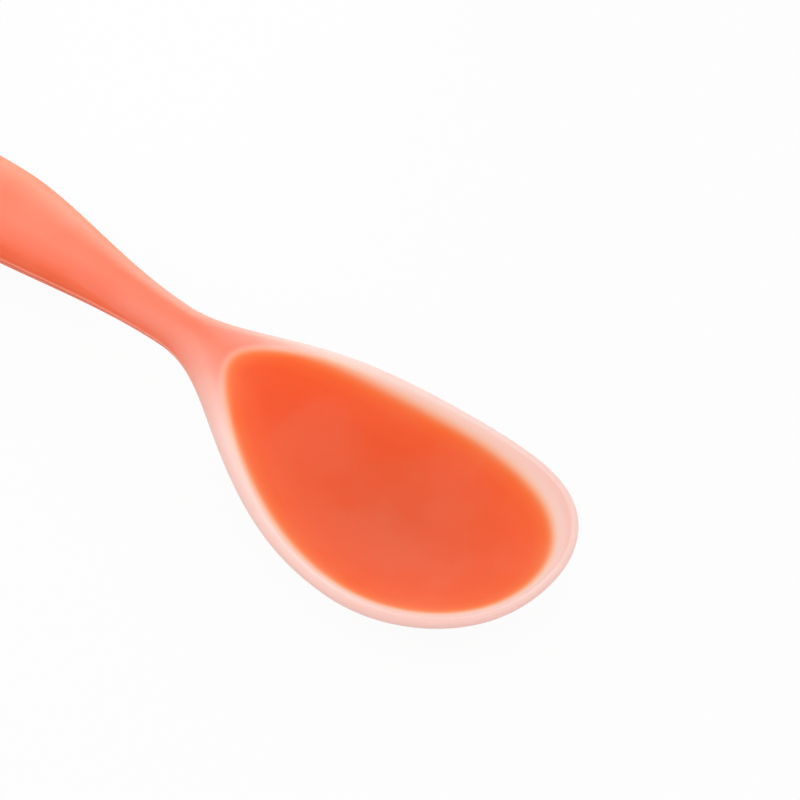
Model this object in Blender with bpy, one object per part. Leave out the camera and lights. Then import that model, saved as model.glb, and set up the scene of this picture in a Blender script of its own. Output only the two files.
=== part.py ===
"""Rice paddle: an orange nylon core moulded inside two halves of milky silicone.

The paddle lies along X with its head at +X and its middle over the origin. It rests on z = 0 on two small
flats, one under the bowl and one under the end of the handle. A place along the paddle is written as its
distance from the end of the handle, and a place across it as its distance from the long axis.
"""

import math

import bmesh
import bpy
import numpy as np

# Plan of the whole paddle, in metres
LENGTH = 0.2347
GRIP_WIDTH = 0.0282
NECK_WIDTH = 0.0128
HEAD_WIDTH = 0.066
GRIP_FROM_END = 0.038
NECK_FROM_TIP = 0.1257
WIDEST_FROM_TIP = 0.0417

# Thickness above and below the mould parting line, and how far in from the edge it rounds off
HANDLE_ABOVE = 0.00525
HANDLE_BELOW = 0.00775
HANDLE_ROUND_ABOVE = 0.0105
HANDLE_ROUND_BELOW = 0.009
NECK_ABOVE = 0.005
NECK_BELOW = 0.005
NECK_ROUND = 0.005
HEAD_ABOVE = 0.0017
HEAD_BELOW = 0.0023
RIM_ROUND = 0.002
ROOT_FROM_TIP = 0.1186
ROOT_LENGTH = 0.0455

# Side view of the parting line: heights above the table and slopes in degrees
NECK_HEIGHT = 0.01645
TIP_RISE = 0.0079
END_SLOPE = 10.0
NECK_SLOPE = 4.4
HEAD_SLOPE = 4.7
TIP_SLOPE = 6.5
REST_FROM_END = 0.010
REST_FLAT_DEPTH = 0.00025

# Bowl pressed into the head
BOWL_DEPTH = 0.0096
BOWL_WIDTH = 0.062
BOWL_FROM_TIP = 0.1017
BOWL_WIDEST_FROM_TIP = 0.0427
BOWL_LIP = 0.0012
BOWL_FLATNESS = 0.55
BOWL_SOFTNESS = 0.05

# Silicone over the core
HANDLE_SKIN = 0.0022
SIDE_SKIN = 0.0015
ROOT_SKIN = 0.0032
BOWL_SKIN = 0.001
UNDER_SKIN = 0.0011
RIM_MARGIN = 0.0053
TIP_MARGIN = 0.0055
CLEARANCE = 0.0003

# Core plate in the head, and how far the handle bar runs into it
PLATE_FROM_TIP = 0.1045
PLATE_WIDEST_FROM_TIP = 0.0452
PLATE_EDGE_ROUND = 0.0012
BAR_ROUND_ABOVE = 0.0118
BAR_ROUND_BELOW = 0.0075
BAR_NECK_ROUND = 0.004
BAR_ROOT_ROUND = 0.0015
BAR_OVERLAP = 0.009

# Hanging hole through the end of the handle
HOLE_FROM_END = 0.015
HOLE_LENGTH = 0.012
HOLE_WIDTH = 0.007
HOLE_LINING = 0.002
HOLE_LIP = 0.0018

# How full each stretch of a curve is: shares of the stretch taken by its two Bezier handles
BODY_FLOW = ((0.78, 0.82), (0.30, 0.37), (0.27, 0.54), (0.51, 0.71))
BAR_FLOW = ((0.78, 0.82), (0.30, 0.37), (0.60, 0.80))
BOWL_FLOW = ((0.32, 0.58), (0.51, 0.74))
PLATE_FLOW = ((0.36, 0.47), (0.52, 0.63))
SIDE_FLOW = ((0.42, 0.37), (0.57, 0.43), (0.34, 0.34))

# Fineness of the meshes
CURVE_STEPS = 13
FINE_STEPS = 104
ROUND_COLUMNS = 4
FLAT_COLUMNS = 6
FLAT_CROWDING = 1.4
ARC_STEPS = 10
LIP_STEPS = 4
FAN_SHARE = 0.8
FAN_REACH = 2.5
WIDEST_ROUND = 0.8
MERGE = 0.000001
SMOOTH_ANGLE = math.radians(40)

# Places worked out from the sizes above
NECK_AT = LENGTH - NECK_FROM_TIP
WIDEST_AT = LENGTH - WIDEST_FROM_TIP
ROOT_AT = LENGTH - ROOT_FROM_TIP
PLATE_AT = LENGTH - PLATE_FROM_TIP


def ease(share):
    """Smooth step from 0 to 1."""
    share = np.clip(share, 0, 1)
    return share * share * (3 - 2 * share)


def bezier(start, leave, arrive, finish, steps):
    """Points of one cubic Bezier stretch."""
    t = np.linspace(0, 1, steps + 1)[:, None]
    start, leave, arrive, finish = (np.array(p, float) for p in (start, leave, arrive, finish))
    ends = (1 - t) ** 3 * start + t**3 * finish
    return ends + 3 * t * (1 - t) ** 2 * leave + 3 * t * t * (1 - t) * arrive


def joined(stretches):
    """One row of points from stretches that share their end points."""
    return np.vstack([stretches[0]] + [points[1:] for points in stretches[1:]])


def half_outline(stops, flow, steps):
    """Curve on one side of the long axis through (distance, half width) stops, square to the axis at both ends."""
    stretches = []
    for i, (start, finish, (leave, arrive)) in enumerate(zip(stops, stops[1:], flow)):
        span = finish[0] - start[0]
        ahead = (start[0] + leave * span, start[1])
        back = (finish[0] - arrive * span, finish[1])
        if i == 0:
            ahead = (start[0], leave * finish[1])
        if i == len(flow) - 1:
            back = (finish[0], arrive * start[1])
        stretches.append(bezier(start, ahead, back, finish, steps))
    return joined(stretches)


def side_curve():
    """Height of the parting line along the paddle, which puts the bowl and the handle's end on the table."""
    end_height = HANDLE_BELOW - REST_FLAT_DEPTH - REST_FROM_END * math.tan(math.radians(END_SLOPE))
    head_height = BOWL_DEPTH + HEAD_BELOW - REST_FLAT_DEPTH
    stops = (
        (0, end_height, END_SLOPE),
        (NECK_AT, NECK_HEIGHT, NECK_SLOPE),
        (WIDEST_AT, head_height, HEAD_SLOPE),
        (LENGTH, head_height + TIP_RISE, TIP_SLOPE),
    )
    stretches = []
    for start, finish, (leave, arrive) in zip(stops, stops[1:], SIDE_FLOW):
        span = finish[0] - start[0]
        rise = span * math.tan(math.radians(start[2]))
        fall = span * math.tan(math.radians(finish[2]))
        ahead = (start[0] + leave * span, start[1] + leave * rise)
        back = (finish[0] - arrive * span, finish[1] - arrive * fall)
        stretches.append(bezier(start[:2], ahead, back, finish[:2], FINE_STEPS))
    return joined(stretches)


class Outline:
    """A plan shape that is the same on both sides of the long axis."""

    def __init__(self, stops, flow):
        self.fans = (FAN_SHARE * stops[1][1], FAN_SHARE * stops[-2][1])
        self.rows = half_outline(stops, flow, CURVE_STEPS)
        fine = half_outline(stops, flow, FINE_STEPS)
        self.loop = np.vstack([fine, fine[-2::-1] * (1, -1)])

    def edge_distance(self, distance, across):
        """Shortest way from each plan point to the outline."""
        start = self.loop[:-1]
        along = self.loop[1:] - start
        lengths = (along**2).sum(1)
        nearest = []
        for point in np.stack([distance.ravel(), across.ravel()], -1):
            share = np.clip(((point - start) * along).sum(1) / lengths, 0, 1)
            offset = point - start - share[:, None] * along
            nearest.append(np.sqrt((offset**2).sum(1).min()))
        return np.array(nearest).reshape(distance.shape)

    def rounding(self, distance, across, reach):
        """Quarter-round rise from 0 at the edge to 1 at the given reach inside it."""
        gap = self.edge_distance(distance, across)
        gap[:, (0, -1)] = 0
        return np.sqrt(1 - (1 - np.clip(gap / reach(distance), 0, 1)) ** 2)

    def grid(self, reach):
        """Plan points in rows that run from one edge over the long axis to the other edge."""
        at, half = self.rows.T
        from_first = np.clip(1 - (at - at[0]) / (FAN_REACH * self.fans[0]), 0, 1)
        from_last = np.clip(1 - (at[-1] - at) / (FAN_REACH * self.fans[1]), 0, 1)
        centre = at + self.fans[0] * from_first**2 - self.fans[1] * from_last**2
        rounded = np.minimum(reach(at) / np.hypot(at - centre, half), WIDEST_ROUND)
        turn = 1 - np.cos(np.linspace(0, math.pi / 2, ROUND_COLUMNS + 1))
        flat = np.linspace(0, 1, FLAT_COLUMNS + 1)[1:] ** FLAT_CROWDING
        inward = np.hstack([np.outer(rounded, turn), rounded[:, None] + np.outer(1 - rounded, flat)])
        distance = at[:, None] + (centre - at)[:, None] * inward
        across = half[:, None] * (1 - inward)
        return np.hstack([distance, distance[:, -2::-1]]), np.hstack([across, -across[:, -2::-1]])


def along_body(grip, neck, head):
    """A size that changes along the paddle, from the grip through the neck to the head."""

    def size(distance):
        to_neck = ease((distance - GRIP_FROM_END) / (NECK_AT - GRIP_FROM_END))
        to_head = ease((distance - ROOT_AT) / ROOT_LENGTH)
        return (grip + (neck - grip) * to_neck) * (1 - to_head) + head * to_head

    return size


PARTING = side_curve()
BOWL = half_outline(
    (
        (LENGTH - BOWL_FROM_TIP, 0),
        (LENGTH - BOWL_WIDEST_FROM_TIP, BOWL_WIDTH / 2),
        (LENGTH - BOWL_LIP, 0),
    ),
    BOWL_FLOW,
    FINE_STEPS,
)
BODY = Outline(
    (
        (0, 0),
        (GRIP_FROM_END, GRIP_WIDTH / 2),
        (NECK_AT, NECK_WIDTH / 2),
        (WIDEST_AT, HEAD_WIDTH / 2),
        (LENGTH, 0),
    ),
    BODY_FLOW,
)
body_above = along_body(HANDLE_ABOVE, NECK_ABOVE, HEAD_ABOVE)
body_below = along_body(HANDLE_BELOW, NECK_BELOW, HEAD_BELOW)
body_round_above = along_body(HANDLE_ROUND_ABOVE, NECK_ROUND, RIM_ROUND)
body_round_below = along_body(HANDLE_ROUND_BELOW, NECK_ROUND, RIM_ROUND)
bar_round_above = along_body(BAR_ROUND_ABOVE, BAR_NECK_ROUND, BAR_ROOT_ROUND)
bar_round_below = along_body(BAR_ROUND_BELOW, BAR_NECK_ROUND, BAR_ROOT_ROUND)


def middle(distance, across):
    """Height of the surface between the two silicone halves: the parting line, dished by the bowl."""
    half = np.interp(distance, BOWL[:, 0], BOWL[:, 1], left=0, right=0)
    depth = np.clip((half**2 - across**2) / (BOWL_WIDTH / 2) ** 2, 0, 1)
    softened = depth * (1 + BOWL_SOFTNESS) / (depth + BOWL_SOFTNESS)
    return np.interp(distance, PARTING[:, 0], PARTING[:, 1]) - BOWL_DEPTH * depth**BOWL_FLATNESS * softened


def add_object(name, bm, paint=None):
    """Turn a finished bmesh into a smooth object. One without paint is a tool that is left out of the part."""
    bmesh.ops.remove_doubles(bm, verts=bm.verts, dist=MERGE)
    bmesh.ops.triangulate(bm, faces=bm.faces)
    bmesh.ops.recalc_face_normals(bm, faces=bm.faces)
    mesh = bpy.data.meshes.new(name)
    bm.to_mesh(mesh)
    bm.free()
    mesh.shade_smooth()
    mesh.set_sharp_from_angle(angle=SMOOTH_ANGLE)
    obj = bpy.data.objects.new(name, mesh)
    bpy.context.scene.collection.objects.link(obj)
    if paint:
        mesh.materials.append(paint)
    else:
        obj.hide_render = True
        obj.display_type = "WIRE"
    return obj


def slab(name, outline, centre, above, below, paint=None):
    """Solid over an outline: a centre surface thickened up and down, each by a size and its rounding at the edge."""
    bm = bmesh.new()
    for direction, (size, reach) in ((1, above), (-1, below)):
        distance, across = outline.grid(reach)
        rise = direction * size(distance) * outline.rounding(distance, across, reach)
        points = np.stack([distance - LENGTH / 2, across, centre(distance, across) + rise], -1)
        grid = [[bm.verts.new(point) for point in row] for row in points]
        for row, following in zip(grid, grid[1:]):
            for j in range(len(row) - 1):
                bm.faces.new((row[j], row[j + 1], following[j + 1], following[j]))
    return add_object(name, bm, paint)


def spool(name, length, width, levels):
    """Upright tool with round ends in plan, lofted through (height, growth) levels, at the hanging hole."""
    bm = bmesh.new()
    straight = (length - width) / 2
    arc = np.linspace(-math.pi / 2, math.pi / 2, ARC_STEPS + 1)
    loops = []
    for height, growth in levels:
        radius = width / 2 + growth
        front = [(straight + radius * math.cos(a), radius * math.sin(a)) for a in arc]
        ring = front + [(-x, -y) for x, y in front]
        origin = HOLE_FROM_END - LENGTH / 2
        loops.append([bm.verts.new((origin + x, y, height)) for x, y in ring])
    for lower, upper in zip(loops, loops[1:]):
        for i in range(len(lower)):
            j = (i + 1) % len(lower)
            bm.faces.new((lower[i], lower[j], upper[j], upper[i]))
    bm.faces.new(loops[0])
    bm.faces.new(loops[-1])
    return add_object(name, bm)


def combine(target, tool, operation):
    """Boolean of a target with a tool, left as a modifier."""
    modifier = target.modifiers.new(tool.name, "BOOLEAN")
    modifier.operation = operation
    modifier.solver = "EXACT"
    modifier.object = tool


def material(name, colour, roughness, alpha=1.0):
    """Principled material in linear colour."""
    paint = bpy.data.materials.new(name)
    paint.use_nodes = True
    shader = paint.node_tree.nodes["Principled BSDF"]
    shader.inputs["Base Color"].default_value = (*colour, 1)
    shader.inputs["Roughness"].default_value = roughness
    shader.inputs["Metallic"].default_value = 0
    shader.inputs["Alpha"].default_value = alpha
    return paint


def core_solid(name, grow, paint=None):
    """The core, or with some growth the room that the silicone leaves for it."""
    handle_cover = HANDLE_SKIN + CLEARANCE - grow
    side_cover = SIDE_SKIN + CLEARANCE - grow
    plate_cover = BOWL_SKIN + CLEARANCE - grow
    under_cover = UNDER_SKIN + CLEARANCE - grow

    def bar_above(distance):
        root_share = ease((distance - NECK_AT) / (PLATE_AT - NECK_AT))
        return body_above(distance) - handle_cover - (ROOT_SKIN - HANDLE_SKIN) * root_share

    def plate_above(distance):
        return body_above(distance) - plate_cover

    def core_below(distance):
        return body_below(distance) - under_cover

    def plate_round(distance):
        return np.full_like(distance, PLATE_EDGE_ROUND)

    bar = Outline(
        (
            (side_cover, 0),
            (GRIP_FROM_END, GRIP_WIDTH / 2 - side_cover),
            (NECK_AT, NECK_WIDTH / 2 - side_cover),
            (PLATE_AT + BAR_OVERLAP + grow, 0),
        ),
        BAR_FLOW,
    )
    plate = Outline(
        (
            (PLATE_AT - grow, 0),
            (LENGTH - PLATE_WIDEST_FROM_TIP, HEAD_WIDTH / 2 - RIM_MARGIN + grow),
            (LENGTH - TIP_MARGIN + grow, 0),
        ),
        PLATE_FLOW,
    )
    core = slab(name, bar, middle, (bar_above, bar_round_above), (core_below, bar_round_below), paint)
    head = slab(name + "_plate", plate, middle, (plate_above, plate_round), (core_below, plate_round))
    combine(core, head, "UNION")
    lining = 2 * (HOLE_LINING + CLEARANCE - grow)
    reach = HANDLE_ABOVE + HANDLE_BELOW
    hole_height = float(middle(np.array(HOLE_FROM_END), np.array(0.0)))
    levels = ((hole_height - reach, 0), (hole_height + reach, 0))
    eye = spool(name + "_eye", HOLE_LENGTH + lining, HOLE_WIDTH + lining, levels)
    combine(core, eye, "DIFFERENCE")
    return core


def hole_tool():
    """Tool for the hanging hole, flared at both mouths to leave rounded lips in the silicone."""
    hole_height = float(middle(np.array(HOLE_FROM_END), np.array(0.0)))
    flare = np.radians(np.linspace(0, 60, LIP_STEPS))
    rise = HOLE_LIP * np.sin(flare)
    growth = HOLE_LIP * (1 - np.cos(flare))
    beyond = HOLE_LIP * math.tan(flare[-1])
    upper = [(hole_height + HANDLE_ABOVE - HOLE_LIP + z, g) for z, g in zip(rise, growth)]
    lower = [(hole_height - HANDLE_BELOW + HOLE_LIP - z, g) for z, g in zip(rise, growth)]
    top = (upper[-1][0] + HOLE_LIP, upper[-1][1] + beyond)
    foot = (lower[-1][0] - HOLE_LIP, lower[-1][1] + beyond)
    return spool("hanging_hole", HOLE_LENGTH, HOLE_WIDTH, [foot, *lower[::-1], *upper, top])


def table_tool():
    """Block under the table's surface, which presses the two resting flats."""
    bm = bmesh.new()
    bmesh.ops.create_cube(bm, size=1)
    bmesh.ops.scale(bm, vec=(2 * LENGTH, 2 * HEAD_WIDTH, BOWL_DEPTH), verts=bm.verts)
    bmesh.ops.translate(bm, vec=(0, 0, -BOWL_DEPTH / 2), verts=bm.verts)
    return add_object("table_surface", bm)


def main():
    for obj in list(bpy.data.objects):
        bpy.data.objects.remove(obj)
    nylon = material("orange_nylon", (0.82, 0.11, 0.04), 0.45)
    silicone_above = material("milky_silicone_upper", (0.95, 0.70, 0.62), 0.5, 0.5)
    silicone_below = material("milky_silicone_lower", (0.95, 0.70, 0.62), 0.5, 0.5)

    def nothing(distance):
        return np.zeros_like(distance)

    core_solid("core", 0.0, nylon)
    room = core_solid("core_room", CLEARANCE)
    hole = hole_tool()
    table = table_tool()
    half_gap = CLEARANCE / 2

    upper = slab(
        "upper_skin",
        BODY,
        lambda distance, across: middle(distance, across) + half_gap,
        (lambda distance: body_above(distance) - half_gap, body_round_above),
        (nothing, body_round_above),
        silicone_above,
    )
    lower = slab(
        "lower_skin",
        BODY,
        lambda distance, across: middle(distance, across) - half_gap,
        (nothing, body_round_above),
        (lambda distance: body_below(distance) - half_gap, body_round_below),
        silicone_below,
    )
    for skin in (upper, lower):
        combine(skin, room, "DIFFERENCE")
        combine(skin, hole, "DIFFERENCE")
    combine(lower, table, "DIFFERENCE")


main()
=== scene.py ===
"""Looks of the rice paddle: one milky silicone skin over an orange nylon core, on a white studio floor.

The skin repeats the sizes of the solids at a finer grain. A place along the paddle is written as its distance
from the end of the handle, and a place across it as its distance from the long axis, in metres.
"""

import math

import bmesh
import bpy
import numpy as np
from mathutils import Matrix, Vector
from mathutils.bvhtree import BVHTree


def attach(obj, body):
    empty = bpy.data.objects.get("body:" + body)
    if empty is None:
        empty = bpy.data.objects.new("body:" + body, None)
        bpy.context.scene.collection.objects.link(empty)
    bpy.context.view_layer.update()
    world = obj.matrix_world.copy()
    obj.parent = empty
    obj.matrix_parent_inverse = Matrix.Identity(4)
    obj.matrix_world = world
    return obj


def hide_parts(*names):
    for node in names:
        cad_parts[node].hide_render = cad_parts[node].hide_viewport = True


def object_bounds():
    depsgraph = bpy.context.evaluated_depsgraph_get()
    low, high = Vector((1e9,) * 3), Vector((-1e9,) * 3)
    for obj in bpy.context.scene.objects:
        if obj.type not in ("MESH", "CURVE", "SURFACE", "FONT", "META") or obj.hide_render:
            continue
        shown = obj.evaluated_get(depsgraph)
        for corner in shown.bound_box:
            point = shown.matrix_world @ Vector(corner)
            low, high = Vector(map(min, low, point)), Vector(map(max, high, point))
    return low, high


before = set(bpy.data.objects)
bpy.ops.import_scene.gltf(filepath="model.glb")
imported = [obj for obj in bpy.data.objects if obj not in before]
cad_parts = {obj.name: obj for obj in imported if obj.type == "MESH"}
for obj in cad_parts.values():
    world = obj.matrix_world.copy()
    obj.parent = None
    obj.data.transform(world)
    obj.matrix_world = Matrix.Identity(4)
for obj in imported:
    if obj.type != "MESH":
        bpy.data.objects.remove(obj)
cad_low, cad_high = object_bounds()

# Plan of the whole paddle
LENGTH = cad_high.x - cad_low.x
HEAD_WIDTH = cad_high.y - cad_low.y
GRIP_WIDTH = 0.0282
NECK_WIDTH = 0.0128
GRIP_FROM_END = 0.038
NECK_FROM_TIP = 0.1257
WIDEST_FROM_TIP = 0.0417

# Thickness above and below the mould parting line, and how far in from the edge it rounds off
HANDLE_ABOVE = 0.00525
HANDLE_BELOW = 0.00775
HANDLE_ROUND_ABOVE = 0.0105
HANDLE_ROUND_BELOW = 0.009
NECK_ABOVE = 0.005
NECK_BELOW = 0.005
NECK_ROUND = 0.005
HEAD_ABOVE = 0.0017
HEAD_BELOW = 0.0023
RIM_ROUND = 0.002
ROOT_FROM_TIP = 0.1186
ROOT_LENGTH = 0.0455

# Side view of the parting line: heights above the table and slopes in degrees
NECK_HEIGHT = 0.01645
TIP_RISE = 0.0079
END_SLOPE = 10.0
NECK_SLOPE = 4.4
HEAD_SLOPE = 4.7
TIP_SLOPE = 6.5
REST_FROM_END = 0.010
REST_FLAT_DEPTH = 0.00025

# Bowl pressed into the head
BOWL_DEPTH = 0.0096
BOWL_WIDTH = 0.062
BOWL_FROM_TIP = 0.1017
BOWL_WIDEST_FROM_TIP = 0.0427
BOWL_LIP = 0.0012
BOWL_FLATNESS = 0.55
BOWL_SOFTNESS = 0.05

# Outline of the core's plate, which shows through the silicone
PLATE_FROM_TIP = 0.1045
PLATE_WIDEST_FROM_TIP = 0.0452
RIM_MARGIN = 0.0053
TIP_MARGIN = 0.0055

# Hanging hole through the end of the handle
HOLE_FROM_END = 0.015
HOLE_LENGTH = 0.012
HOLE_WIDTH = 0.007
HOLE_LIP = 0.0018

# Bead that the mould leaves along the parting line
BEAD_HEIGHT = 0.0003
BEAD_REACH = 0.00045
BEAD_FADE = 0.03
# Painted highlight on the bead: how many times its standing out is added to the bar's depth, which paints its
# line paler
BEAD_PAINTED_HIGHLIGHT = 6.0

# Painted highlight towards the neck, added to the bar's depth: a paler band that is greatest between the
# crown and the sides, and the share given here is left at the sides
NECK_PAINTED_HIGHLIGHT = 0.0015
HIGHLIGHT_SIDE_SHARE = 0.3
HIGHLIGHT_FROM_END = 0.075

# How full each stretch of a curve is: shares of the stretch taken by its two Bezier handles
BODY_FLOW = ((0.78, 0.82), (0.30, 0.37), (0.27, 0.54), (0.51, 0.71))
BOWL_FLOW = ((0.32, 0.58), (0.51, 0.74))
PLATE_FLOW = ((0.36, 0.47), (0.52, 0.63))
SIDE_FLOW = ((0.42, 0.37), (0.57, 0.43), (0.34, 0.34))

# Fineness of the skin's mesh
CURVE_STEPS = 64
FINE_STEPS = 2 * CURVE_STEPS
BEAD_COLUMNS = 4
ROUND_COLUMNS = 16
FLAT_COLUMNS = 16
FLAT_CROWDING = 1.6
LIP_COLUMNS = 8
LIP_SPACE = 2.0  # room for the lip's columns, in lips
AFTER_BEAD = 1.6  # first turn after the bead, in turns of the bead
WALL_ROWS = 6
HOLE_ROWS = 0.8  # share of the first stretch's rows that end on the hole
SETTLE_ROWS = 24  # rows after the hole until the rows run square to the axis
TIP_FAN = 0.8  # how far the rows lean back at the tip, in half widths of the head
TIP_FAN_REACH = 2.5
WIDEST_ROUND = 0.8  # largest share of a row that the rounded edge takes
MERGE = 0.00001

# Silicone colours in sRGB: on the handle by how deep the bar lies under the surface, and on the head by how
# far inside the plate's edge a point is, both in millimetres. On the handle the colours are partly the bar
# seen through the silicone and partly painted shade: the thinnest cover, on the sides and the underside,
# takes the darkest tones
MILLIMETRE = 0.001
BAR_COLOURS_AND_SHADE = (
    (1.2, (230, 88, 46)),
    (1.6, (226, 88, 45)),
    (1.8, (232, 96, 50)),
    (2.1, (243, 107, 65)),
    (2.25, (246, 110, 69)),
    (2.45, (249, 122, 91)),
    (2.9, (250, 126, 97)),
    (3.1, (250, 130, 102)),
    (3.6, (252, 139, 114)),
    (5.5, (252, 154, 135)),
    (7.0, (252, 163, 145)),
    (9.0, (252, 177, 162)),
    (12, (252, 184, 171)),
    (20, (251, 187, 176)),
)
# On the head the colours are partly the plate seen through the silicone and partly painted shade: the orange
# grows darker towards the middle of the bowl and lighter towards its walls
HEAD_COLOURS_AND_SHADE = (
    (-8, (254, 194, 186)),
    (-5.3, (254, 193, 185)),
    (-4.2, (254, 199, 191)),
    (-3.0, (255, 208, 200)),
    (-2.2, (255, 209, 199)),
    (-1.5, (255, 205, 189)),
    (-0.65, (255, 182, 147)),
    (0.2, (255, 145, 95)),
    (0.9, (255, 124, 60)),
    (1.8, (255, 109, 47)),
    (4.5, (249, 97, 40)),
    (10, (243, 93, 42)),
    (24, (239, 93, 47)),
)

# Depths of the bar and places at the plate's edge over which the handle's colours give way to the head's
BEYOND_BAR = (0.008, 0.024)
INSIDE_PLATE = (-0.0024, 0.0009)

# Noises as scale and detail, and what they drive
CLOUD_NOISE = (45, 2)
CLOUD_RANGE = (0.35, 0.65)
CLOUD_SHARE = 0.055
CLOUD_COLOUR = (252, 190, 172)
SILICONE_GLOSS_NOISE = (900, 3)
SILICONE_ROUGHNESS = (0.44, 0.56)
SILICONE_GRAIN_NOISE = (2600, 2)
SILICONE_GRAIN_STRENGTH = 0.05
SILICONE_GRAIN_DEPTH = 0.00005
NYLON_TONE_NOISE = (120, 3)
NYLON_COLOURS = ((0.3, (228, 88, 48)), (0.7, (240, 100, 58)))
NYLON_GLOSS_NOISE = (1500, 2)
NYLON_ROUGHNESS = (0.38, 0.52)
NYLON_GRAIN_NOISE = (4000, 2)
NYLON_GRAIN_STRENGTH = 0.08
NYLON_GRAIN_DEPTH = 0.00004

# Plain values of the shaders
SILICONE_SHADER = {
    "IOR": 1.41,
    "Specular IOR Level": 0.25,
    "Sheen Weight": 0.12,
    "Sheen Roughness": 0.5,
    "Sheen Tint": (1, 0.86, 0.8, 1),
    "Subsurface Weight": 0.8,
    "Subsurface Radius": (1.0, 0.75, 0.7),
    "Subsurface Scale": 0.008,
}
FLOOR_SHADER = {
    "Base Color": (0.7, 0.7, 0.7, 1),
    "Roughness": 0.9,
    "Specular IOR Level": 0,
}

# Floor, which keeps clear of the faces that rest on it and shows the camera mostly plain white
FLOOR_RADIUS = 6
FLOOR_SEGMENTS = 96
FLOOR_GAP = 0.00005
FLOOR_WHITE_SHARE = 0.95

# Light: an even white world, and a softbox on the far side of the handle
WORLD_STRENGTH = 1.02
SOFTBOX_PLACE = (-0.13, 0.16, 0.07)
SOFTBOX_TARGET = (-0.06, 0, 0.015)
SOFTBOX_SIZE = 0.12
SOFTBOX_SPREAD = 60
SOFTBOX_POWER = 0.037

# Camera of the photograph
PHOTO_AZIMUTH = 42.88
PHOTO_ELEVATION = 50.26
PHOTO_TARGET = (0.04098, 0.03102, 0.0)
CAMERA_DISTANCE = 0.9
CAMERA_LENS = 157.55
CAMERA_SENSOR = 36.0

# Places worked out from the sizes above
NECK_AT = LENGTH - NECK_FROM_TIP
WIDEST_AT = LENGTH - WIDEST_FROM_TIP
ROOT_AT = LENGTH - ROOT_FROM_TIP
PLATE_AT = LENGTH - PLATE_FROM_TIP


def ease(share):
    """Smooth step from 0 to 1."""
    share = np.clip(share, 0, 1)
    return share * share * (3 - 2 * share)


def bezier(start, leave, arrive, finish, steps):
    """Points of one cubic Bezier stretch."""
    t = np.linspace(0, 1, steps + 1)[:, None]
    start, leave, arrive, finish = (np.array(p, float) for p in (start, leave, arrive, finish))
    ends = (1 - t) ** 3 * start + t**3 * finish
    return ends + 3 * t * (1 - t) ** 2 * leave + 3 * t * t * (1 - t) * arrive


def joined(stretches):
    """One row of points from stretches that share their end points."""
    return np.vstack([stretches[0]] + [points[1:] for points in stretches[1:]])


def half_outline(stops, flow, steps):
    """Curve on one side of the long axis through (distance, half width) stops, square to it at both ends."""
    stretches = []
    for i, (start, finish, (leave, arrive)) in enumerate(zip(stops, stops[1:], flow)):
        span = finish[0] - start[0]
        ahead = (start[0] + leave * span, start[1])
        back = (finish[0] - arrive * span, finish[1])
        if i == 0:
            ahead = (start[0], leave * finish[1])
        if i == len(flow) - 1:
            back = (finish[0], arrive * start[1])
        stretches.append(bezier(start, ahead, back, finish, steps))
    return joined(stretches)


def side_curve():
    """Height of the parting line along the paddle, which puts the bowl and the handle's end on the table."""
    end_height = HANDLE_BELOW - REST_FLAT_DEPTH - REST_FROM_END * math.tan(math.radians(END_SLOPE))
    head_height = BOWL_DEPTH + HEAD_BELOW - REST_FLAT_DEPTH
    stops = (
        (0, end_height, END_SLOPE),
        (NECK_AT, NECK_HEIGHT, NECK_SLOPE),
        (WIDEST_AT, head_height, HEAD_SLOPE),
        (LENGTH, head_height + TIP_RISE, TIP_SLOPE),
    )
    stretches = []
    for start, finish, (leave, arrive) in zip(stops, stops[1:], SIDE_FLOW):
        span = finish[0] - start[0]
        rise = span * math.tan(math.radians(start[2]))
        fall = span * math.tan(math.radians(finish[2]))
        ahead = (start[0] + leave * span, start[1] + leave * rise)
        back = (finish[0] - arrive * span, finish[1] - arrive * fall)
        stretches.append(bezier(start[:2], ahead, back, finish[:2], FINE_STEPS))
    return joined(stretches)


def edge_distance(half, distance, across):
    """Shortest way from each plan point to an outline given by its one half."""
    loop = np.vstack([half, half[-2::-1] * (1, -1)])
    start = loop[:-1]
    along = loop[1:] - start
    lengths = (along**2).sum(1)
    nearest = []
    for point in np.stack([distance.ravel(), across.ravel()], -1):
        share = np.clip(((point - start) * along).sum(1) / lengths, 0, 1)
        offset = point - start - share[:, None] * along
        nearest.append(np.sqrt((offset**2).sum(1).min()))
    return np.array(nearest).reshape(distance.shape)


def along_body(grip, neck, head):
    """A size that changes along the paddle, from the grip through the neck to the head."""

    def size(distance):
        to_neck = ease((distance - GRIP_FROM_END) / (NECK_AT - GRIP_FROM_END))
        to_head = ease((distance - ROOT_AT) / ROOT_LENGTH)
        return (grip + (neck - grip) * to_neck) * (1 - to_head) + head * to_head

    return size


BODY_STOPS = (
    (0, 0),
    (GRIP_FROM_END, GRIP_WIDTH / 2),
    (NECK_AT, NECK_WIDTH / 2),
    (WIDEST_AT, HEAD_WIDTH / 2),
    (LENGTH, 0),
)
BOWL_STOPS = (
    (LENGTH - BOWL_FROM_TIP, 0),
    (LENGTH - BOWL_WIDEST_FROM_TIP, BOWL_WIDTH / 2),
    (LENGTH - BOWL_LIP, 0),
)
PLATE_STOPS = (
    (PLATE_AT, 0),
    (LENGTH - PLATE_WIDEST_FROM_TIP, HEAD_WIDTH / 2 - RIM_MARGIN),
    (LENGTH - TIP_MARGIN, 0),
)
PARTING = side_curve()
BODY = half_outline(BODY_STOPS, BODY_FLOW, FINE_STEPS)
BOWL = half_outline(BOWL_STOPS, BOWL_FLOW, FINE_STEPS)
PLATE = half_outline(PLATE_STOPS, PLATE_FLOW, FINE_STEPS)
body_above = along_body(HANDLE_ABOVE, NECK_ABOVE, HEAD_ABOVE)
body_below = along_body(HANDLE_BELOW, NECK_BELOW, HEAD_BELOW)
body_round_above = along_body(HANDLE_ROUND_ABOVE, NECK_ROUND, RIM_ROUND)
body_round_below = along_body(HANDLE_ROUND_BELOW, NECK_ROUND, RIM_ROUND)


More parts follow.
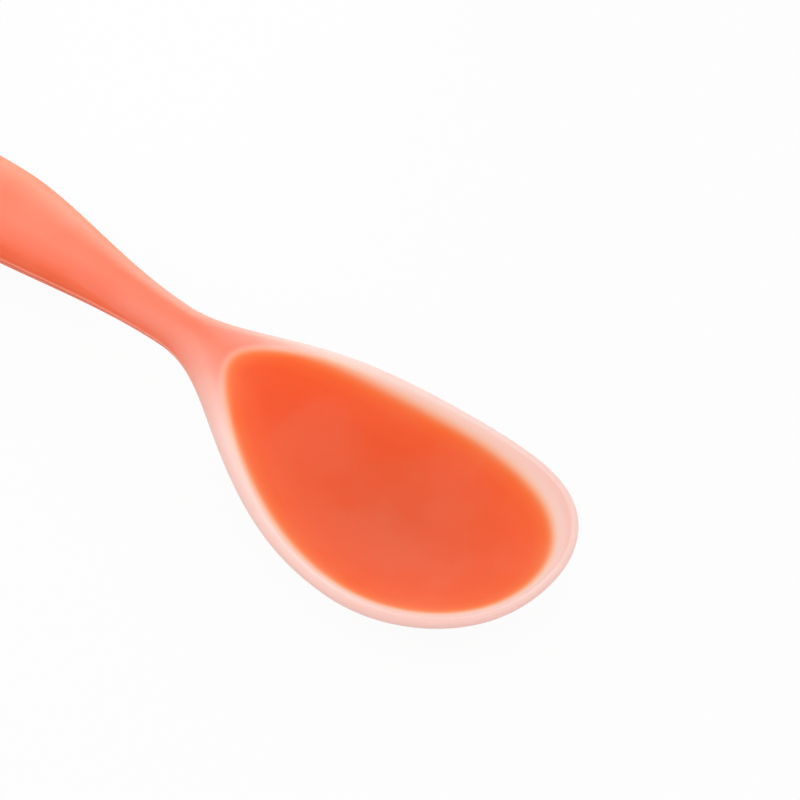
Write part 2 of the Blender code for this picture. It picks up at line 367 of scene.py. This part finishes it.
def middle(distance, across):
    """Height of the surface between the two silicone halves: the parting line, dished by the bowl."""
    half = np.interp(distance, BOWL[:, 0], BOWL[:, 1], left=0, right=0)
    depth = np.clip((half**2 - across**2) / (BOWL_WIDTH / 2) ** 2, 0, 1)
    softened = depth * (1 + BOWL_SOFTNESS) / (depth + BOWL_SOFTNESS)
    return np.interp(distance, PARTING[:, 0], PARTING[:, 1]) - BOWL_DEPTH * depth**BOWL_FLATNESS * softened


def hole_half(shares):
    """Points on one side of the hanging hole's edge, at shares of the way from its outer to its inner end."""
    radius = HOLE_WIDTH / 2
    straight = HOLE_LENGTH - HOLE_WIDTH
    quarter = radius * math.pi / 2
    way = shares * (2 * quarter + straight)
    first = np.clip(way / radius, 0, math.pi / 2)
    last = np.clip((way - quarter - straight) / radius, 0, math.pi / 2)
    run = np.clip(way - quarter, 0, straight)
    distance = HOLE_FROM_END - HOLE_LENGTH / 2 + radius * (1 - np.cos(first)) + run + radius * np.sin(last)
    across = radius * (np.sin(first) + np.cos(last) - 1)
    return distance, across


def hole_distance(distance, across):
    """Way from each plan point to the edge of the hanging hole."""
    straight = (HOLE_LENGTH - HOLE_WIDTH) / 2
    beyond = np.maximum(np.abs(distance - HOLE_FROM_END) - straight, 0)
    return np.maximum(np.hypot(beyond, across) - HOLE_WIDTH / 2, 0)


def plan_rows():
    """Plan points in rows from the edge to the hole or the long axis.

    Also gives the last row that ends on the hole, and how much of each row's way out is sideways.
    """
    at, half = half_outline(BODY_STOPS, BODY_FLOW, CURVE_STEPS).T
    last_on_hole = int(HOLE_ROWS * CURVE_STEPS)
    way = np.concatenate([[0], np.cumsum(np.hypot(np.diff(at), np.diff(half)))])
    hole_at, hole_across = hole_half(np.clip(way / way[last_on_hole], 0, 1))
    past = np.arange(len(at)) - last_on_hole
    settle = np.clip(1 - past / SETTLE_ROWS, 0, 1) ** 2
    fan = TIP_FAN * HEAD_WIDTH / 2
    from_tip = np.clip(1 - (LENGTH - at) / (TIP_FAN_REACH * fan), 0, 1)
    on_hole = past <= 0
    axis_at = at + (hole_at[-1] - at) * settle - fan * from_tip**2
    axis_at[-1] = axis_at[-2]
    inner_at = np.where(on_hole, hole_at, axis_at)
    inner_across = np.where(on_hole, hole_across, 0)

    span = np.hypot(at - inner_at, half - inner_across)
    rounded = np.minimum(body_round_below(at) / span, WIDEST_ROUND)[:, None]
    on_bead = np.linspace(0, math.asin(BEAD_REACH / HANDLE_BELOW), BEAD_COLUMNS + 1)[:-1]
    after_bead = np.linspace(on_bead[-1] * AFTER_BEAD, math.pi / 2, ROUND_COLUMNS + 1)
    turn = 1 - np.cos(np.concatenate([on_bead, after_bead]))
    flat = np.linspace(0, 1, FLAT_COLUMNS + LIP_COLUMNS + 1) ** FLAT_CROWDING
    even = rounded + (1 - rounded) * flat
    lip = np.minimum(LIP_SPACE * HOLE_LIP / span, 1 - WIDEST_ROUND)[:, None]
    lip_curve = 1 - np.cos(np.linspace(math.pi / 2, 0, LIP_COLUMNS + 1))
    to_lip = rounded + (1 - lip - rounded) * np.linspace(0, 1, FLAT_COLUMNS + 1)
    clustered = np.hstack([to_lip[:, :-1], 1 - lip * lip_curve])
    inner = even + (clustered - even) * settle[:, None]
    inward = np.hstack([rounded * turn[:-1], inner])
    distance = at[:, None] + (inner_at - at)[:, None] * inward
    across = half[:, None] + (inner_across - half)[:, None] * inward
    return distance, across, last_on_hole, ((half - inner_across) / span)[:, None]


def bead(distance, rise):
    """How far the bead stands out at a height over or under the parting line. It dies out on the head."""
    return BEAD_HEIGHT * ease(1 - rise / BEAD_REACH) * (1 - ease((distance - NECK_AT) / BEAD_FADE))


def rounding(gap, reach):
    """Quarter-round rise from 0 at the edge to 1 at the given reach inside it."""
    return np.sqrt(1 - (1 - np.clip(gap / reach, 0, 1)) ** 2)


def skin_surfaces():
    """Rows of points of the upper and the lower surface on one side of the axis, and the last on the hole."""
    distance, across, last_on_hole, outward = plan_rows()
    gap = edge_distance(BODY, distance, across)
    gap[:, 0] = 0
    inside_lip = np.clip(1 - hole_distance(distance, across) / HOLE_LIP, 0, 1)
    lip = HOLE_LIP * (1 - np.sqrt(1 - inside_lip**2))
    height = middle(distance, across)
    rise = body_above(distance) * rounding(gap, body_round_above(distance)) - lip
    fall = body_below(distance) * rounding(gap, body_round_below(distance)) - lip
    x = distance - LENGTH / 2
    upper = np.stack([x, across + outward * bead(distance, rise), np.minimum(height + rise, cad_high.z)], -1)
    lower = np.stack([x, across + outward * bead(distance, fall), np.maximum(height - fall, 0)], -1)
    return upper, lower, last_on_hole


def add_grid(bm, points):
    """Quads over rows of points."""
    grid = [[bm.verts.new(point) for point in row] for row in points]
    for row, following in zip(grid, grid[1:]):
        for j in range(len(row) - 1):
            bm.faces.new((row[j], row[j + 1], following[j + 1], following[j]))


def silicone_skin():
    """The whole silicone surface as one closed mesh: two sides of two surfaces, and the wall of the hole."""
    upper, lower, last_on_hole = skin_surfaces()
    rim = upper[: last_on_hole + 1, -1]
    foot = lower[: last_on_hole + 1, -1]
    shares = np.linspace(0, 1, WALL_ROWS + 1)[None, :, None]
    wall = rim[:, None] + (foot - rim)[:, None] * shares
    bm = bmesh.new()
    for side in (1, -1):
        for points in (upper, lower, wall):
            add_grid(bm, points * (1, side, 1))
    bmesh.ops.remove_doubles(bm, verts=bm.verts, dist=MERGE)
    bmesh.ops.recalc_face_normals(bm, faces=bm.faces)
    mesh = bpy.data.meshes.new("silicone_skin")
    bm.to_mesh(mesh)
    bm.free()
    mesh.shade_smooth()
    skin = bpy.data.objects.new("silicone_skin", mesh)
    bpy.context.scene.collection.objects.link(skin)
    return skin


def core_tree(last_at):
    """Search tree over the core's faces up to a distance along the paddle."""
    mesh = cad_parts["core"].data
    points = [v.co for v in mesh.vertices]
    faces = [p.vertices[:] for p in mesh.polygons if p.center.x + LENGTH / 2 < last_at]
    return BVHTree.FromPolygons(points, faces)


def write_depths(skin):
    """Store on each point how deep the bar lies under it, with painted highlights on the bead and towards the
    neck added as extra depth, and how far inside the plate's edge it is.
    """
    mesh = skin.data
    bar = core_tree(PLATE_AT)
    places = np.array([v.co for v in mesh.vertices])
    distance = places[:, 0] + LENGTH / 2
    across = places[:, 1]
    body_half = np.interp(distance, BODY[:, 0], BODY[:, 1])
    stands_out = np.maximum(np.abs(across) - body_half, 0)
    # Painted highlight: the bead's standing out counts as extra depth, which paints its line paler
    cover_and_highlight = np.array([bar.find_nearest(v.co)[3] for v in mesh.vertices]) + BEAD_PAINTED_HIGHLIGHT * stands_out
    sideways = np.clip(across / np.maximum(body_half, MERGE), -1, 1) ** 2
    to_neck = ease((distance - HIGHLIGHT_FROM_END) / (NECK_AT - HIGHLIGHT_FROM_END))
    # Painted highlight: a paler band between the crown and the sides, growing towards the neck
    neck_highlight = HIGHLIGHT_SIDE_SHARE * sideways + 4 * (1 - HIGHLIGHT_SIDE_SHARE / 2) * sideways * (1 - sideways)
    cover_and_highlight += NECK_PAINTED_HIGHLIGHT * neck_highlight * to_neck
    plate_half = np.interp(distance, PLATE[:, 0], PLATE[:, 1], left=-1, right=-1)
    inside = np.where(np.abs(across) < plate_half, 1, -1)
    edge = inside * edge_distance(PLATE, distance, across)
    for name, values in (("bar_cover_and_highlight", cover_and_highlight), ("plate_edge", edge)):
        layer = mesh.attributes.new(name, "FLOAT", "POINT")
        layer.data.foreach_set("value", values.astype(np.float32))


def linear(red, green, blue):
    """Linear colour of an sRGB colour given in 0 to 255."""
    shares = np.array((red, green, blue)) / 255
    values = np.where(shares <= 0.04045, shares / 12.92, ((shares + 0.055) / 1.055) ** 2.4)
    return (*values, 1)


class Nodes:
    """A material's node tree with short ways to add and join nodes."""

    def __init__(self, name):
        self.material = bpy.data.materials.new(name)
        self.material.use_nodes = True
        self.tree = self.material.node_tree
        self.shader = self.tree.nodes["Principled BSDF"]

    def add(self, kind, **settings):
        node = self.tree.nodes.new(kind)
        for key, value in settings.items():
            setattr(node, key, value)
        return node

    def join(self, output, target):
        self.tree.links.new(output, target)

    def attribute(self, name):
        return self.add("ShaderNodeAttribute", attribute_name=name).outputs["Fac"]

    def set(self, values):
        """Plain values on the shader's own sockets."""
        for socket, value in values.items():
            self.shader.inputs[socket].default_value = value

    def ramp(self, value, stops, unit=1):
        """Colours at places along a value, with straight blends between them. The places are in a unit."""
        low = stops[0][0]
        high = stops[-1][0]
        span = self.add("ShaderNodeMapRange")
        span.inputs["From Min"].default_value = low * unit
        span.inputs["From Max"].default_value = high * unit
        self.join(value, span.inputs["Value"])
        ramp = self.add("ShaderNodeValToRGB")
        elements = ramp.color_ramp.elements
        while len(elements) < len(stops):
            elements.new(1)
        for element, (place, colour) in zip(elements, stops):
            element.position = (place - low) / (high - low)
            element.color = linear(*colour)
        self.join(span.outputs["Result"], ramp.inputs["Fac"])
        return ramp.outputs["Color"]

    def step(self, value, low, high):
        """A smooth step from 0 at a low value to 1 at a high one."""
        span = self.add("ShaderNodeMapRange", interpolation_type="SMOOTHSTEP")
        span.inputs["From Min"].default_value = low
        span.inputs["From Max"].default_value = high
        self.join(value, span.inputs["Value"])
        return span.outputs["Result"]

    def noise(self, scale, detail):
        """Noise in the part's own metres."""
        place = self.add("ShaderNodeTexCoord")
        noise = self.add("ShaderNodeTexNoise")
        noise.inputs["Scale"].default_value = scale
        noise.inputs["Detail"].default_value = detail
        self.join(place.outputs["Object"], noise.inputs["Vector"])
        return noise.outputs["Fac"]

    def between(self, value, low, high):
        """A number that goes from low to high as a noise value goes from 0 to 1."""
        span = self.add("ShaderNodeMapRange")
        span.inputs["To Min"].default_value = low
        span.inputs["To Max"].default_value = high
        self.join(value, span.inputs["Value"])
        return span.outputs["Result"]

    def mix(self, share, first, second):
        mix = self.add("ShaderNodeMix", data_type="RGBA")
        self.join(share, mix.inputs["Factor"])
        self.join(first, mix.inputs["A"])
        self.join(second, mix.inputs["B"])
        return mix.outputs["Result"]

    def tint(self, share, first, colour):
        """A share of one plain colour laid over another colour."""
        mix = self.add("ShaderNodeMix", data_type="RGBA")
        mix.inputs["B"].default_value = linear(*colour)
        self.join(share, mix.inputs["Factor"])
        self.join(first, mix.inputs["A"])
        return mix.outputs["Result"]

    def bump(self, height, strength, depth):
        bump = self.add("ShaderNodeBump")
        bump.inputs["Strength"].default_value = strength
        bump.inputs["Distance"].default_value = depth
        self.join(height, bump.inputs["Height"])
        self.join(bump.outputs["Normal"], self.shader.inputs["Normal"])


def silicone_material():
    """Milky silicone, whose colour says how much of it lies over the orange core, with painted shade on the
    handle's sides and underside and in the middle of the bowl, and painted highlights on the bead and towards
    the neck.
    """
    nodes = Nodes("milky_silicone")
    cover_and_highlight = nodes.attribute("bar_cover_and_highlight")
    edge = nodes.attribute("plate_edge")
    over_bar_shaded = nodes.ramp(cover_and_highlight, BAR_COLOURS_AND_SHADE, MILLIMETRE)
    over_head_shaded = nodes.ramp(edge, HEAD_COLOURS_AND_SHADE, MILLIMETRE)
    beyond_bar = nodes.step(cover_and_highlight, *BEYOND_BAR)
    inside_plate = nodes.step(edge, *INSIDE_PLATE)
    off_plate = nodes.mix(beyond_bar, over_bar_shaded, over_head_shaded)
    clear = nodes.mix(inside_plate, off_plate, over_head_shaded)
    clouds = nodes.between(nodes.step(nodes.noise(*CLOUD_NOISE), *CLOUD_RANGE), 0, CLOUD_SHARE)
    colour = nodes.tint(clouds, clear, CLOUD_COLOUR)
    roughness = nodes.between(nodes.noise(*SILICONE_GLOSS_NOISE), *SILICONE_ROUGHNESS)
    nodes.join(colour, nodes.shader.inputs["Base Color"])
    nodes.join(roughness, nodes.shader.inputs["Roughness"])
    nodes.bump(nodes.noise(*SILICONE_GRAIN_NOISE), SILICONE_GRAIN_STRENGTH, SILICONE_GRAIN_DEPTH)
    nodes.set(SILICONE_SHADER)
    return nodes.material


def nylon_material():
    """Satin orange nylon with the fine grain of its mould."""
    nodes = Nodes("orange_nylon")
    colour = nodes.ramp(nodes.noise(*NYLON_TONE_NOISE), NYLON_COLOURS)
    roughness = nodes.between(nodes.noise(*NYLON_GLOSS_NOISE), *NYLON_ROUGHNESS)
    nodes.join(colour, nodes.shader.inputs["Base Color"])
    nodes.join(roughness, nodes.shader.inputs["Roughness"])
    nodes.bump(nodes.noise(*NYLON_GRAIN_NOISE), NYLON_GRAIN_STRENGTH, NYLON_GRAIN_DEPTH)
    return nodes.material


def seen_share(tree):
    """1 for rays that show a surface to the camera, straight, mirrored or through glass, and 0 for others."""
    path = tree.nodes.new("ShaderNodeLightPath")
    share = path.outputs["Is Camera Ray"]
    for kind in ("Is Glossy Ray", "Is Transmission Ray"):
        larger = tree.nodes.new("ShaderNodeMath")
        larger.operation = "MAXIMUM"
        tree.links.new(share, larger.inputs[0])
        tree.links.new(path.outputs[kind], larger.inputs[1])
        share = larger.outputs["Value"]
    return share


def floor_material():
    """White floor that shows the paddle's soft shadow on a background of plain white."""
    nodes = Nodes("white_floor")
    nodes.set(FLOOR_SHADER)
    glow = nodes.add("ShaderNodeEmission")
    share = nodes.add("ShaderNodeMath", operation="MULTIPLY")
    share.inputs[1].default_value = FLOOR_WHITE_SHARE
    nodes.join(seen_share(nodes.tree), share.inputs[0])
    mixed = nodes.add("ShaderNodeMixShader")
    nodes.join(share.outputs["Value"], mixed.inputs["Fac"])
    nodes.join(nodes.shader.outputs["BSDF"], mixed.inputs[1])
    nodes.join(glow.outputs["Emission"], mixed.inputs[2])
    nodes.join(mixed.outputs["Shader"], nodes.tree.nodes["Material Output"].inputs["Surface"])
    return nodes.material


def add_floor():
    """Round floor that isn't part of the paddle."""
    bm = bmesh.new()
    bmesh.ops.create_circle(bm, cap_ends=True, segments=FLOOR_SEGMENTS, radius=FLOOR_RADIUS)
    mesh = bpy.data.meshes.new("studio_floor")
    bm.to_mesh(mesh)
    bm.free()
    mesh.materials.append(floor_material())
    floor = bpy.data.objects.new("studio_floor", mesh)
    floor.location.z = -FLOOR_GAP
    bpy.context.scene.collection.objects.link(floor)


def aim(obj, place, target):
    """Put a lamp or the camera at a place and turn it to a target."""
    obj.location = place
    obj.rotation_euler = (Vector(target) - Vector(place)).to_track_quat("-Z", "Y").to_euler()


def add_softbox():
    """Soft lamp for the far side of the handle, with a spread that keeps it off the bowl."""
    lamp = bpy.data.lights.new("handle_softbox", "AREA")
    lamp.size = SOFTBOX_SIZE
    lamp.spread = math.radians(SOFTBOX_SPREAD)
    lamp.energy = SOFTBOX_POWER
    softbox = bpy.data.objects.new("handle_softbox", lamp)
    bpy.context.scene.collection.objects.link(softbox)
    softbox.visible_camera = False
    aim(softbox, SOFTBOX_PLACE, SOFTBOX_TARGET)


def add_world():
    """Even white light from all round, seen as plain white."""
    world = bpy.data.worlds.new("white_studio")
    bpy.context.scene.world = world
    world.use_nodes = True
    tree = world.node_tree
    lit = tree.nodes["Background"]
    lit.inputs["Color"].default_value = (1, 1, 1, 1)
    lit.inputs["Strength"].default_value = WORLD_STRENGTH
    seen = tree.nodes.new("ShaderNodeBackground")
    seen.inputs["Color"].default_value = (1, 1, 1, 1)
    mixed = tree.nodes.new("ShaderNodeMixShader")
    tree.links.new(seen_share(tree), mixed.inputs["Fac"])
    tree.links.new(lit.outputs["Background"], mixed.inputs[1])
    tree.links.new(seen.outputs["Background"], mixed.inputs[2])
    tree.links.new(mixed.outputs["Shader"], tree.nodes["World Output"].inputs["Surface"])


def add_camera():
    """Camera at the photograph's angle."""
    azimuth = math.radians(PHOTO_AZIMUTH)
    elevation = math.radians(PHOTO_ELEVATION)
    level = math.cos(elevation)
    back = Vector((math.sin(azimuth) * level, -math.cos(azimuth) * level, math.sin(elevation)))
    data = bpy.data.cameras.new("photo_camera")
    data.lens = CAMERA_LENS
    data.sensor_width = CAMERA_SENSOR
    camera = bpy.data.objects.new("photo_camera", data)
    bpy.context.scene.collection.objects.link(camera)
    bpy.context.scene.camera = camera
    aim(camera, Vector(PHOTO_TARGET) + back * CAMERA_DISTANCE, PHOTO_TARGET)


def main():
    bpy.context.scene.view_settings.view_transform = "Standard"
    skin = silicone_skin()
    write_depths(skin)
    skin.data.materials.append(silicone_material())
    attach(skin, "root")
    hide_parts("upper_skin", "lower_skin")
    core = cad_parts["core"]
    core.data.materials.clear()
    core.data.materials.append(nylon_material())
    add_floor()
    add_world()
    add_softbox()
    add_camera()


main()
